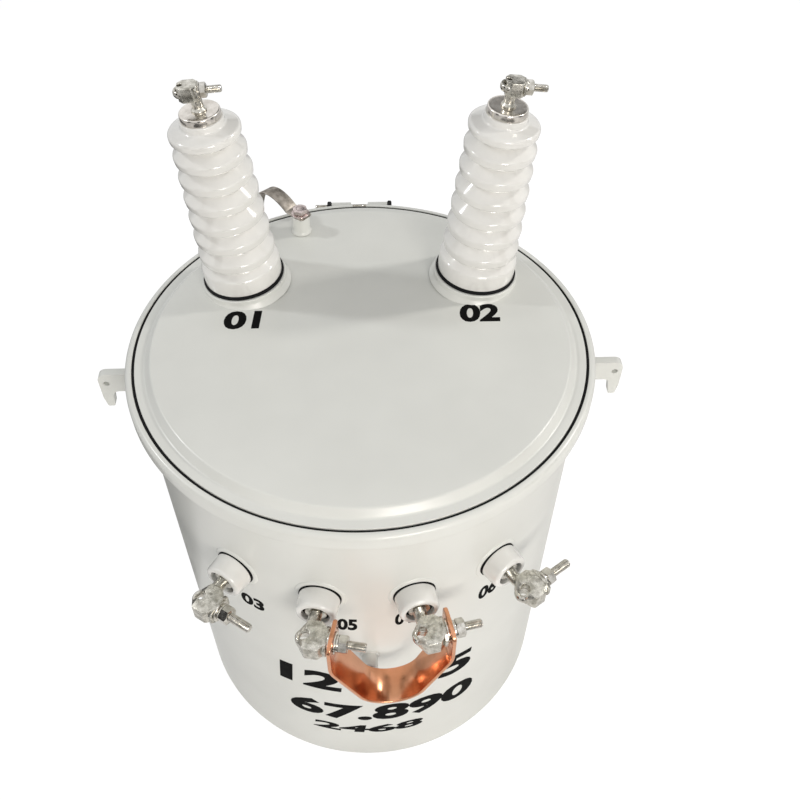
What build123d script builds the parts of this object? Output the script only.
from build123d import *
import os
from math import atan2, cos, radians, sin, sqrt

# Pole mounted distribution transformer: a round welded steel tank with a clamped cover, two
# high voltage bushings on the cover, four low voltage bushings in the tank wall, a copper
# neutral strap, earthing points, lifting lugs and the lugs that bolt it to a pole.
# Millimetres, +Z up. The origin is on the tank's axis, at the level of the floor it stands on.
# -Y is the front, where the low voltage bushings are, and +Y is the pole side.

# Tank
tank_radius = 315.0
tank_wall_thickness = 4.0
base_thickness = 6.0
bead_top = 708.0          # the rolled bead at the tank's mouth
bead_height = 17.0
bead_width = 14.0

# Cover, its gasket and the clamping band
gasket_thickness = 5.0
gasket_lip = 4.0          # the part of the gasket that shows round the cover's edge
cover_overhang = 3.0      # past the tank's wall
cover_thickness = 4.0
cover_rim_width = 14.0    # the flat rim outside the raised middle
cover_slope_run = 9.0
cover_rise = 11.0
cover_crown = 2.0         # the raised middle is very slightly domed
cover_bend = 5.0
band_thickness = 2.5
band_corner = 7.0
band_clearance = 0.4
band_gap_angle = 4.0      # degrees of the band left open at the closing bolt

# Closing bolt of the band
lug_tube_radius = 8.0
lug_tube_length = 33.0
lug_tube_gap = 28.0       # between the two tubes
closing_bolt_radius = 5.0
closing_head_flats = 17.0
closing_head_height = 7.0
closing_bolt_tail = 20.0

# High voltage bushings
hv_offset_x = 173.0
hv_offset_y = 125.0
hv_tilt = 5.1             # degrees, outwards
hv_seat_rise = 25.0       # of the seat's middle above the cover's rim
hv_collar_radius = 63.0
hv_gasket_radius = 60.0
hv_gasket_thickness = 4.0
hv_skirt_radius = 57.5
hv_skirt_height = 26.0
hv_core_bottom = 44.0
hv_core_top = 31.0
hv_sheds = 7
hv_shed_bottom_radius = 55.4
hv_shed_top_radius = 48.6
hv_first_shed = 41.0      # lower edge of the lowest shed above the porcelain's foot
hv_shed_pitch = 31.8
hv_shed_rim = 11.0
hv_shed_round = 4.5
hv_neck_radius = 29.0
hv_neck_height = 14.0
cap_radius = 27.0
cap_height = 10.0
cap_edge = 1.5

# High voltage terminals: a cast clamp on a flared stem, with an eyebolt and its nut
hv_stem_foot = 10.0
hv_stem_top = 7.0
hv_stem_step = 2.0        # height of the stem's foot
hv_stem_flare = 5.0       # height at which it has narrowed
hv_stud_height = 26.5     # of the eyebolt's axis above the cap
hv_body_length = 26.0
hv_body_depth = 25.0
hv_body_height = 19.0
hv_body_corner = 6.0
hv_shift_left = -7.0      # the clamp's middle beside the bushing's axis
hv_shift_right = 4.0
hv_eye_outer = 10.5
hv_eye_inner = 6.0
hv_eye_thickness = 9.0
hv_eye_back = 9.0         # the eye's middle behind the clamp's middle
hv_stud_radius = 5.0
hv_stud_end = 42.0
hv_nut_flats = 17.0
hv_nut_height = 8.0
hv_washer_radius = 10.0
hv_washer_thickness = 2.0

# Low voltage bushings
lv_height = 547.0
lv_spacing = 23.1         # degrees round the tank
lv_count = 4
lv_gasket_radius = 29.5
lv_gasket_thickness = 2.5
lv_radius = 28.5
lv_taper = 1.5
lv_length = 27.5
lv_round = 4.0
lv_mouth_radius = 19.0
lv_mouth_depth = 8.0
lv_stem_radius = 9.0

# Low voltage terminals, in the same pattern as the high voltage ones
lv_body_gap = 12.0        # from the porcelain's face to the clamp
lv_body_depth = 42.0
lv_body_back = 14.0       # from the stem's axis to the clamp's cable end
lv_body_front = 25.0      # from the stem's axis to the clamp's nut end
lv_body_height = 26.0
lv_body_corner = 11.0
lv_body_edge = 2.5
lv_body_slope = 9.0       # the cable end slopes back this far, above and below
lv_stem_overlap = 4.0     # the stem runs this far into the clamp
lv_eye_outer = 13.0
lv_eye_inner = 6.5
lv_eye_thickness = 11.0
lv_eye_back = 6.0
lv_stud_radius = 6.35
lv_stud_end = 75.0
lv_nut_flats = 22.2
lv_nut_height = 12.3
lv_flat_washer_radius = 15.0
lv_flat_washer_thickness = 2.5
lv_spring_washer_radius = 11.5
lv_spring_washer_thickness = 3.2
lv_packing_radius = 16.0  # the washer between the clamp and the strap
lv_packing_thickness = 3.0

# Copper neutral strap, a hanging loop between the two middle terminals
strap_width = 50.0
strap_thickness = 5.0
strap_drop = 147.0        # from the studs down to the loop's lowest point
strap_bend = 45.0         # radius at the bottom of the loop
strap_shoulder_drop = 40.0
strap_shoulder_bend = 55.0
strap_end_rise = 22.0     # above the stud
strap_flat_run = 18.0     # the strap stays flat this far below the stud

# Earthing point at the tank's front
front_boss_height = 382.0
earth_boss_radius = 12.0
earth_boss_length = 20.0
earth_bolt_flats = 15.0
earth_bolt_head = 7.0
boss_edge = 1.5           # on the end of every boss

# Earth strip from the cover to the tank
cover_boss_x = -92.0
cover_boss_y = 243.0
cover_boss_rise = 30.0    # above the cover's top
cover_boss_radius = 14.0
cover_boss_foot = 17.0
cover_boss_foot_height = 7.0
weld_gap = 0.2            # under the boss's foot, where the cover curves away from it
strip_width = 24.0
strip_thickness = 2.0
strip_leave_angle = 137.0  # degrees, the way that the strip leaves the cover's boss
strip_flat = 20.0
strip_arch = 45.0         # how hard it is bent: outwards, up, and up from the tank's side
strip_lift = 35.0
strip_fall = 85.0
side_boss_angle = 119.0    # degrees round the tank
side_boss_height = 645.0
side_boss_radius = 15.0
side_boss_length = 32.0
strip_rise = 48.0          # the strip runs straight up from the boss on the tank
strip_bolt_flats = 21.0
strip_bolt_head = 8.0
strip_washer_radius = 14.0
strip_washer_thickness = 2.5

# Lifting lugs
lug_thickness = 13.0
lug_top = 668.0
lug_arm = 35.0
lug_reach = 386.0         # from the tank's axis to the outer edge
lug_drop = 66.0           # from the top to the tip of the hook
lug_leg = 17.0
lug_tip = 10.0
lug_corner = 12.0
lug_throat = 10.0
lug_hole_radius = 4.5
lug_hole_in = 11.0        # from the outer edge
lug_hole_down = 18.0      # from the top

# Lugs that hang it on the pole
support_spacing = 285.75
support_upper = 570.0
support_width = 110.0
support_height = 90.0
support_thickness = 6.0
support_standoff = 65.0
support_bend = 8.0
slot_width = 21.0
slot_length = 45.0

segments = 28             # flat stretches that a bent strip is made of
hex_corner = 0.6          # how much of a hexagon's corners is turned off, and how far in
hex_face = 1.6

# Places worked out from the sizes above
bead_bottom = bead_top - bead_height
bead_radius = tank_radius + bead_width
bead_round = band_corner - band_thickness - band_clearance
cover_radius = tank_radius + cover_overhang
gasket_radius = cover_radius + gasket_lip
cover_bottom = bead_top + gasket_thickness
cover_rim_top = cover_bottom + cover_thickness
cover_flat_radius = cover_radius - cover_rim_width - cover_slope_run
cover_top = cover_rim_top + cover_rise + cover_crown
cover_boss_top = cover_top + cover_boss_rise
hv_seat_height = cover_rim_top + hv_seat_rise
band_inner = bead_radius + band_clearance
band_outer = band_inner + band_thickness
band_bottom = bead_bottom - band_clearance - band_thickness
band_top = cover_rim_top
lip_top = band_top - band_thickness
lv_first_angle = -90.0 - lv_spacing * (lv_count - 1) / 2
lv_gasket_face = tank_radius + lv_gasket_thickness
lv_face = lv_gasket_face + lv_length
lv_stud_radius_out = lv_face + lv_body_gap + lv_body_depth / 2
strap_joined = (lv_count // 2 - 1, lv_count // 2)  # the two middle bushings carry the strap
strap_face = lv_body_front + lv_packing_thickness
hv_porcelain = hv_first_shed + (hv_sheds - 1) * hv_shed_pitch + hv_shed_rim + hv_neck_height


def spun(points, rounded=0.0, beyond=0.0):
    """A solid of revolution about Z from (radius, height) points, its far corners rounded."""
    face = make_face(Polyline(*points, close=True))
    if rounded:
        corners = [v for v in face.vertices() if v.X > beyond]
        face = fillet(corners, rounded)
    return Rot(90, 0, 0) * revolve(face, Axis.Y)


def column(radius, height, at=0.0):
    """A round column standing on the plane z = at."""
    return Pos(0, 0, at) * Cylinder(radius, height, align=(Align.CENTER, Align.CENTER, Align.MIN))


def hexagon(flats, height, at=0.0):
    """A hexagonal prism standing on the plane z = at, with the corners of its top turned off."""
    prism = extrude(RegularPolygon(flats / 2, 6, major_radius=False), amount=height)
    corner = flats / sqrt(3)
    low = (corner - flats / 2) * hex_corner
    turned = spun([(0, 0), (corner, 0), (corner, height - low), (corner - hex_face * low, height),
                   (0, height)])
    return Pos(0, 0, at) * (prism & turned)


def along_x(shape):
    """Turns a shape that stands on Z so that it runs along +X."""
    return Rot(0, 90, 0) * shape


def ribbon(centres, widths, width, thickness):
    """A flat strip through the centres, each with its own direction across the strip.

    The first and the last stretch stay flat, so that they seat on what they are bolted to.
    """
    sections = []
    last = len(centres) - 1
    for i, centre in enumerate(centres):
        before = centres[last - 1] if i >= last - 1 else centres[max(i - 1, 0)]
        after = centres[1] if i <= 1 else centres[min(i + 1, last)]
        way = (after - before).normalized()
        across = (widths[i] - way * widths[i].dot(way)).normalized()
        normal = way.cross(across)
        a, b = across * (width / 2), normal * (thickness / 2)
        sections.append(make_face(Polyline(centre + a + b, centre - a + b,
                                           centre - a - b, centre + a - b, close=True)))
    return loft(sections, ruled=True)


def on_tank(angle, radius, height):
    """A plane on the tank's side: X runs round the tank, Y is up and Z points outwards."""
    c, s = cos(radians(angle)), sin(radians(angle))
    return Plane(origin=(radius * c, radius * s, height), x_dir=(-s, c, 0), z_dir=(c, s, 0))


def on_cover(side):
    """A plane at the seat of a high voltage bushing, tilted outwards; side is -1 or 1."""
    t = radians(hv_tilt) * side
    return Plane(origin=(side * hv_offset_x, hv_offset_y, hv_seat_height),
                 x_dir=(cos(t), 0, -sin(t)), z_dir=(sin(t), 0, cos(t)))


def tank_body():
    """The wall with its rolled bead, and the base plate let into its foot."""
    inner = tank_radius - tank_wall_thickness
    wall = spun([(inner, 0), (tank_radius, 0), (tank_radius, bead_bottom), (bead_radius, bead_bottom),
                 (bead_radius, bead_top), (inner, bead_top)], bead_round, tank_radius + 1)
    return wall, column(inner, base_thickness)


def cover_plate():
    """The pressed cover: a flat rim, a slope, a faintly domed middle and the bushings' collars."""
    foot = cover_radius - cover_rim_width
    half = cover_flat_radius
    sphere = (half ** 2 + cover_crown ** 2) / (2 * cover_crown)
    rim, rise, t = cover_rim_top, cover_rise, cover_thickness
    middle = (half / 2, rim + rise + sqrt(sphere ** 2 - (half / 2) ** 2) - (sphere - cover_crown))
    top = [Line((cover_radius, rim - t), (cover_radius, rim)), Line((cover_radius, rim), (foot, rim)),
           Line((foot, rim), (half, rim + rise)),
           ThreePointArc((half, rim + rise), middle, (0, rim + rise + cover_crown)),
           Line((0, rim + rise + cover_crown), (0, rim + rise - t)),
           Line((0, rim + rise - t), (half - t, rim + rise - t)),
           Line((half - t, rim + rise - t), (foot - t, rim - t)),
           Line((foot - t, rim - t), (cover_radius, rim - t))]
    face = make_face(top)
    face = fillet([v for v in face.vertices() if v.X > half - 1 and v.X < foot + 1 and v.Y > rim - 1],
                  cover_bend)
    plate = Rot(90, 0, 0) * revolve(face, Axis.Y)
    for side in (-1, 1):
        depth = hv_seat_height - rim - rise + cover_thickness / 2
        collar = [(0, -depth), (hv_collar_radius, -depth), (hv_collar_radius, 0), (0, 0)]
        plate += on_cover(side) * spun(collar, cover_thickness / 2, 1)
    return plate


def cover_gasket():
    """The rubber ring under the cover, with a lip that stands up round the cover's edge."""
    inner = tank_radius - tank_wall_thickness
    outer = bead_radius - bead_round
    return spun([(inner, bead_top), (outer, bead_top), (outer, lip_top),
                 (cover_radius, lip_top), (cover_radius, cover_bottom), (inner, cover_bottom)])


def clamping_band():
    """The C section band round the bead and the cover's gasket, open at the closing bolt."""
    t = band_thickness
    shape = make_face(Polyline((tank_radius + band_clearance, band_bottom), (band_outer, band_bottom),
                               (band_outer, band_top), (gasket_radius, band_top), (gasket_radius, lip_top),
                               (band_inner, lip_top), (band_inner, band_bottom + t),
                               (tank_radius + band_clearance, band_bottom + t), close=True))
    shape = fillet([v for v in shape.vertices() if v.X > band_outer - 0.1], band_corner)
    shape = fillet([v for v in shape.vertices() if abs(v.X - band_inner) < 0.1], band_corner - t)
    ring = Rot(90, 0, 0) * revolve(shape, Axis.Y, 360 - band_gap_angle)
    return Rot(0, 0, 90 + band_gap_angle / 2) * ring


def closing_bolt():
    """The tubes welded to the band's two ends, and the bolt and nut that draw them together."""
    across = lug_tube_gap / 2 + lug_tube_length
    place = Pos(0, band_outer + lug_tube_radius, (band_top + band_bottom) / 2)
    hole = Cylinder(closing_bolt_radius, 4 * across, rotation=(0, 90, 0))
    tubes = []
    for side in (-1, 1):
        middle = side * (lug_tube_gap + lug_tube_length) / 2
        tube = Pos(middle, 0, 0) * Cylinder(lug_tube_radius, lug_tube_length, rotation=(0, 90, 0))
        foot = Pos(middle, -lug_tube_radius, 0) * Box(lug_tube_length, 2 * lug_tube_radius, lug_tube_radius)
        tubes.append((place * (tube + foot - hole)) - column(band_outer, 2 * band_top))
    shank = Cylinder(closing_bolt_radius, 2 * across, rotation=(0, 90, 0))
    tail_length = closing_bolt_tail + closing_head_height
    tail = Pos(-across, 0, 0) * along_x(column(closing_bolt_radius, tail_length, -tail_length))
    head = Pos(across, 0, 0) * along_x(hexagon(closing_head_flats, closing_head_height))
    nut = Pos(-across, 0, 0) * Rot(0, -90, 0) * hexagon(closing_head_flats, closing_head_height)
    return Compound(tubes), place * (shank + tail + head), place * (nut - hole)


def hv_porcelain_body():
    """The glazed bushing: a skirt, seven sheds that shrink upwards on a tapering core, and a neck."""
    top = hv_porcelain
    points = [(0, 0), (hv_skirt_radius, 0), (hv_skirt_radius, hv_skirt_height)]
    for i in range(hv_sheds):
        part = i / (hv_sheds - 1)
        low = hv_first_shed + i * hv_shed_pitch
        shed = hv_shed_bottom_radius + (hv_shed_top_radius - hv_shed_bottom_radius) * part
        core = hv_core_bottom + (hv_core_top - hv_core_bottom) * part
        points += [(core, low - hv_shed_round), (shed - hv_shed_round, low),
                   (shed, low + hv_shed_round / 2), (shed, low + hv_shed_rim)]
    points += [(hv_neck_radius, top - hv_neck_height + hv_shed_round), (hv_neck_radius, top), (0, top)]
    face = make_face(Polyline(*points, close=True))
    corners = [v for v in face.vertices() if v.X > hv_neck_radius - 1 and 1 < v.Y < top - 1]
    face = fillet(corners, hv_shed_round / 2)
    return Rot(90, 0, 0) * revolve(face, Axis.Y)


def eyebolt(outer, inner, thickness, back, stud, end):
    """An eyebolt along +X from an eye that stands behind the origin, its hole upright along Y."""
    eye = Pos(-back, 0, 0) * Cylinder(outer, thickness, rotation=(90, 0, 0))
    hole = Pos(-back, 0, 0) * Cylinder(inner, 2 * thickness, rotation=(90, 0, 0))
    shank = along_x(column(stud, end + back))
    shank = chamfer(shank.faces().sort_by(Axis.X)[-1].edges(), stud / 5)
    return eye + Pos(-back, 0, 0) * shank - hole


def clamp(back, front, height, depth, corner, edge, slope=0.0):
    """A cast clamp body, eight sided seen along Y, from x = -back to x = front.

    Its cable end slopes back above and below, so that the cable's hole opens on the slopes.
    """
    outline = chamfer(Rectangle(back + front, depth).vertices(), corner)
    body = extrude(Plane.XZ * outline, amount=height / 2, both=True)
    body = chamfer(body.faces().sort_by(Axis.Y)[-1].edges() + body.faces().sort_by(Axis.Y)[0].edges(), edge)
    body = Pos((front - back) / 2, 0, 0) * body
    if slope:
        side = make_face(Polyline((-back, height / 2 - slope), (-back, -height / 2 + slope),
                                  (slope - back, -height / 2), (front, -height / 2),
                                  (front, height / 2), (slope - back, height / 2), close=True))
        body &= extrude(side, amount=depth / 2, both=True)
    return body


def hv_set(side):
    """The pieces of one high voltage bushing, in the order of their names below."""
    seat = on_cover(side)
    foot = hv_gasket_thickness
    cap_foot = foot + hv_porcelain
    gasket = column(hv_gasket_radius, foot)
    body = Pos(0, 0, foot) * hv_porcelain_body()
    cap = spun([(0, 0), (cap_radius, 0), (cap_radius, cap_height), (0, cap_height)], cap_edge, 1)
    cap_top = cap_foot + cap_height
    shift = hv_shift_left if side < 0 else hv_shift_right
    bolt = Rot(90, 0, 0) * eyebolt(hv_eye_outer, hv_eye_inner, hv_eye_thickness, hv_eye_back,
                                   hv_stud_radius, hv_stud_end)
    stud_place = Pos(shift, 0, cap_top + hv_stud_height)
    face = hv_body_length / 2
    block = clamp(face, face, hv_body_height, hv_body_depth, hv_body_corner, cap_edge)
    block = stud_place * Rot(90, 0, 0) * block
    stem_top = hv_stud_height - hv_body_height / 2 + hv_stem_step
    stem = Pos(0, 0, cap_top) * spun([(0, 0), (hv_stem_foot, 0), (hv_stem_foot, hv_stem_step),
                                      (hv_stem_top, hv_stem_flare), (hv_stem_top, stem_top), (0, stem_top)])
    bolt = stud_place * bolt
    hole = stud_place * (Pos(-hv_eye_back, 0, 0) * column(hv_eye_inner, hv_body_height, -hv_body_height / 2))
    washer = stud_place * along_x(column(hv_washer_radius, hv_washer_thickness, face))
    terminal = block + stem - bolt - hole - washer
    nut = stud_place * along_x(hexagon(hv_nut_flats, hv_nut_height, face + hv_washer_thickness))
    return (seat * gasket, seat * body, seat * (Pos(0, 0, cap_foot) * cap), seat * terminal, seat * bolt,
            seat * (washer + nut - bolt))


def lv_places():
    """The low voltage bushings' planes on the tank, from left to right."""
    return [on_tank(lv_first_angle + i * lv_spacing, 0, lv_height) for i in range(lv_count)]


def lv_washers(start):
    """A flat and a spring washer on the stud, from x = start."""
    flat = column(lv_flat_washer_radius, lv_flat_washer_thickness, start)
    spring = column(lv_spring_washer_radius, lv_spring_washer_thickness, start + lv_flat_washer_thickness)
    return along_x(flat + spring)


def lv_set(index):
    """The pieces of one low voltage bushing, drawn with Z outwards from the tank's axis."""
    place = lv_places()[index]
    stud_at = Pos(0, 0, lv_stud_radius_out)
    wall = place.location.inverse() * column(tank_radius, 2 * lv_height)
    gasket = column(lv_gasket_radius, lv_gasket_face - tank_radius / 2, tank_radius / 2) - wall
    mouth = lv_length - lv_mouth_depth
    porcelain = spun([(0, 0), (lv_radius, 0), (lv_radius - lv_taper, lv_length), (lv_mouth_radius, lv_length),
                      (lv_mouth_radius, mouth), (0, mouth)], 0)
    porcelain = fillet(porcelain.edges().filter_by(GeomType.CIRCLE).filter_by(
        lambda e: abs(e.radius - lv_radius + lv_taper) < 0.01), lv_round)
    bolt = stud_at * eyebolt(lv_eye_outer, lv_eye_inner, lv_eye_thickness, lv_eye_back,
                             lv_stud_radius, lv_stud_end)
    block = stud_at * clamp(lv_body_back, lv_body_front, lv_body_height, lv_body_depth, lv_body_corner,
                            lv_body_edge, lv_body_slope)
    stem = column(lv_stem_radius, lv_body_gap + lv_mouth_depth + lv_stem_overlap, lv_face - lv_mouth_depth)
    hole = stud_at * Pos(-lv_eye_back, 0, 0) * Cylinder(lv_eye_inner, 2 * lv_body_height, rotation=(90, 0, 0))
    terminal = block + stem - bolt - hole
    start, packing = lv_body_front, []
    if index in strap_joined:
        start = strap_face + strap_thickness
        packing = [stud_at * along_x(column(lv_packing_radius, lv_packing_thickness, lv_body_front)) - bolt]
    washers = Compound([stud_at * lv_washers(start) - bolt] + packing)
    nut_at = start + lv_flat_washer_thickness + lv_spring_washer_thickness
    nut = stud_at * along_x(hexagon(lv_nut_flats, lv_nut_height, nut_at)) - bolt
    return (place * gasket, place * (Pos(0, 0, lv_gasket_face) * porcelain), place * terminal, place * bolt,
            place * washers, place * nut)


def neutral_strap():
    """The copper loop: flat ends square to the two studs, and a U that hangs between them."""
    left, right = (lv_places()[i] for i in strap_joined)
    end = (strap_face + strap_thickness / 2, 0, lv_stud_radius_out)
    ends = [p.from_local_coords(end) for p in (left, right)]
    outward = [p.z_dir for p in (left, right)]
    span = (ends[1] - ends[0]).length / 2
    middle = (ends[0] + ends[1]) / 2
    side = (ends[1] - ends[0]).normalized()
    shoulder = -strap_shoulder_drop
    steep = radians(60)
    for _ in range(20):
        # found step by step: the straight sides meet below the loop, as far down as its round bottom needs
        deep = strap_drop - strap_shoulder_drop + strap_bend * (1 / cos(steep) - 1)
        steep = atan2(deep, span)
    outline = FilletPolyline((-span, strap_end_rise), (-span, shoulder), (0, shoulder - deep),
                             (span, shoulder), (span, strap_end_rise),
                             radius=[strap_shoulder_bend, strap_bend, strap_shoulder_bend])
    start = (strap_end_rise + strap_flat_run) / outline.length
    stops = [0.0] + [start + (1 - 2 * start) * i / segments for i in range(segments + 1)] + [1.0]
    centres, widths = [], []
    for stop in stops:
        flat = outline @ stop
        turn = min(max((flat.X + span) / (2 * span), 0), 1)
        if stop <= start:
            turn = 0
        if stop >= 1 - start:
            turn = 1
        centres.append(middle + side * flat.X + Vector(0, 0, flat.Y))
        widths.append(outward[0] * (1 - turn) + outward[1] * turn)
    strap = ribbon(centres, widths, strap_width, strap_thickness)
    for plane in (left, right):
        stud = along_x(column(lv_stud_radius, lv_stud_end))
        stud = Pos(0, 0, lv_stud_radius_out) * stud
        strap -= plane * stud
    return strap


def bolted_boss(radius, length, flats, head, washer=0.0, washer_thickness=0.0, gap=0.0):
    """A round boss standing on Z and the bolt in its end, with room for a strip under the head."""
    boss = spun([(0, -radius), (radius, -radius), (radius, length), (0, length)], boss_edge, 1)
    bolt = hexagon(flats, head, length + gap + washer_thickness)
    if washer:
        bolt += column(washer, washer_thickness, length + gap)
    return boss, bolt


def front_earth():
    """The earthing boss in the tank's front and its bolt."""
    place = on_tank(-90, tank_radius, front_boss_height)
    boss, bolt = bolted_boss(earth_boss_radius, earth_boss_length, earth_bolt_flats, earth_bolt_head)
    return place * boss - column(tank_radius, 2 * front_boss_height), place * bolt


def earth_strip():
    """The bosses on the cover and the tank's side, their bolts, and the flat strip between them."""
    cover_place = Plane(origin=(cover_boss_x, cover_boss_y, cover_boss_top))
    near = sqrt(cover_boss_x ** 2 + cover_boss_y ** 2) - cover_boss_foot
    dome = cover_crown * (1 - (near / cover_flat_radius) ** 2)
    foot = cover_rim_top + cover_rise + dome + weld_gap - cover_boss_top
    cover_boss = cover_place * spun([(0, foot), (cover_boss_foot, foot),
                                     (cover_boss_radius, foot + cover_boss_foot_height),
                                     (cover_boss_radius, 0), (0, 0)])
    _, cover_bolt = bolted_boss(cover_boss_radius, 0, strip_bolt_flats, strip_bolt_head,
                                strip_washer_radius, strip_washer_thickness, strip_thickness)
    cover_bolt = cover_place * (cover_bolt + column(strip_bolt_flats / 4, strip_thickness))
    side_place = on_tank(side_boss_angle, tank_radius, side_boss_height)
    side_boss, side_bolt = bolted_boss(side_boss_radius, side_boss_length, strip_bolt_flats, strip_bolt_head,
                                       strip_washer_radius, strip_washer_thickness, strip_thickness)
    side_bolt = side_place * (side_bolt + column(strip_bolt_flats / 4, strip_thickness, side_boss_length))
    side_boss = side_place * side_boss - column(tank_radius, 2 * side_boss_height)
    leave = Vector(cos(radians(strip_leave_angle)), sin(radians(strip_leave_angle)), 0)
    up = Vector(0, 0, 1)
    low = side_place.from_local_coords((0, 0, side_boss_length + strip_thickness / 2))
    start = Vector(cover_boss_x, cover_boss_y, cover_boss_top + strip_thickness / 2)
    run_in = [start - leave * cover_boss_radius, start + leave * strip_flat]
    run_out = [low + up * strip_rise, low - up * side_boss_radius]
    bend = Bezier(run_in[1], run_in[1] + leave * strip_arch + up * strip_lift,
                  run_out[0] + up * strip_fall, run_out[0])
    bent = [bend @ (i / segments) for i in range(segments + 1)]
    centres = [run_in[0]] + bent + [run_out[1]]
    first, last = up.cross(leave), side_place.x_dir
    turned = [first * (1 - i / segments) + last * (i / segments) for i in range(segments + 1)]
    widths = [first] + turned + [last]
    strip = ribbon(centres, widths, strip_width, strip_thickness) - cover_bolt - side_bolt
    return cover_boss, cover_bolt, side_boss, side_bolt, strip


def lifting_lug(side):
    """A hook of thick plate that stands out from the tank's side, throat downwards."""
    start, out = tank_radius - tank_wall_thickness, lug_reach
    low = lug_top - lug_drop
    face = make_face(Polyline((start, lug_top), (out, lug_top), (out, low + lug_arm / 2),
                              (out - (lug_leg - lug_tip) / 2, low), (out - (lug_leg + lug_tip) / 2, low),
                              (out - lug_leg, lug_top - lug_arm), (start, lug_top - lug_arm), close=True))
    corner = [v for v in face.vertices() if v.X > out - 0.1 and v.Y > lug_top - 0.1]
    face = fillet(corner, lug_corner)
    throat = [v for v in face.vertices()
              if abs(v.X - out + lug_leg) < 0.1 and abs(v.Y - lug_top + lug_arm) < 0.1]
    face = fillet(throat, lug_throat)
    plate = Rot(90, 0, 0) * extrude(face, amount=lug_thickness / 2, both=True)
    hole = Cylinder(lug_hole_radius, 2 * lug_thickness, rotation=(90, 0, 0))
    plate -= Pos(out - lug_hole_in, 0, lug_top - lug_hole_down) * hole
    plate -= column(tank_radius, 2 * lug_top)
    return plate if side > 0 else mirror(plate, Plane.YZ)


def support_lug(height):
    """A channel of bent plate, welded to the tank by its flanges, slotted for the pole's bolt."""
    face_y = tank_radius + support_standoff
    depth = face_y - tank_radius / 2
    t = support_thickness
    outer = fillet(Rectangle(support_width, 2 * depth).vertices(), support_bend)
    inner = fillet(Rectangle(support_width - 2 * t, 2 * (depth - t)).vertices(), support_bend - t)
    outer = extrude(outer, amount=support_height / 2, both=True)
    inner = extrude(inner, amount=support_height, both=True)
    slot = extrude(SlotOverall(slot_length, slot_width, rotation=90), amount=2 * depth, both=True)
    slot = Rot(90, 0, 0) * slot
    channel = Pos(0, tank_radius / 2, height) * (outer - inner)
    channel -= Pos(0, face_y, height) * (slot & Box(support_width, 4 * t, support_height))
    return channel - column(tank_radius, 2 * height)


parts = {}
parts["tank_wall"], parts["tank_base"] = tank_body()
parts["cover"] = cover_plate()
parts["cover_gasket"] = cover_gasket()
parts["cover_band"] = clamping_band()
parts["band_lugs"], parts["band_bolt"], parts["band_nut"] = closing_bolt()

hv_names = ("gasket", "bushing", "cap", "terminal", "eyebolt", "nut")
for side, which in ((-1, "left"), (1, "right")):
    for name, shape in zip(hv_names, hv_set(side)):
        parts[f"hv_{name}_{which}"] = shape

shared = {"lv_gaskets": [], "lv_washers": [], "lv_nuts": []}
for index in range(lv_count):
    gasket, porcelain, terminal, bolt, washers, nut = lv_set(index)
    parts[f"lv_bushing_{index + 1}"] = porcelain
    parts[f"lv_terminal_{index + 1}"] = terminal
    parts[f"lv_eyebolt_{index + 1}"] = bolt
    shared["lv_gaskets"].append(gasket)
    shared["lv_washers"].append(washers)
    shared["lv_nuts"].append(nut)
for name, pieces in shared.items():
    parts[name] = Compound(pieces)

parts["neutral_strap"] = neutral_strap()
parts["front_earth_boss"], parts["front_earth_bolt"] = front_earth()
earth_names = ("cover_earth_boss", "cover_earth_bolt", "side_earth_boss", "side_earth_bolt", "earth_strip")
for name, shape in zip(earth_names, earth_strip()):
    parts[name] = shape
parts["lifting_lug_left"], parts["lifting_lug_right"] = lifting_lug(-1), lifting_lug(1)
parts["support_lug_upper"] = support_lug(support_upper)
parts["support_lug_lower"] = support_lug(support_upper - support_spacing)

os.makedirs("parts", exist_ok=True)
for name, shape in parts.items():
    export_step(shape, f"parts/{name}.step")
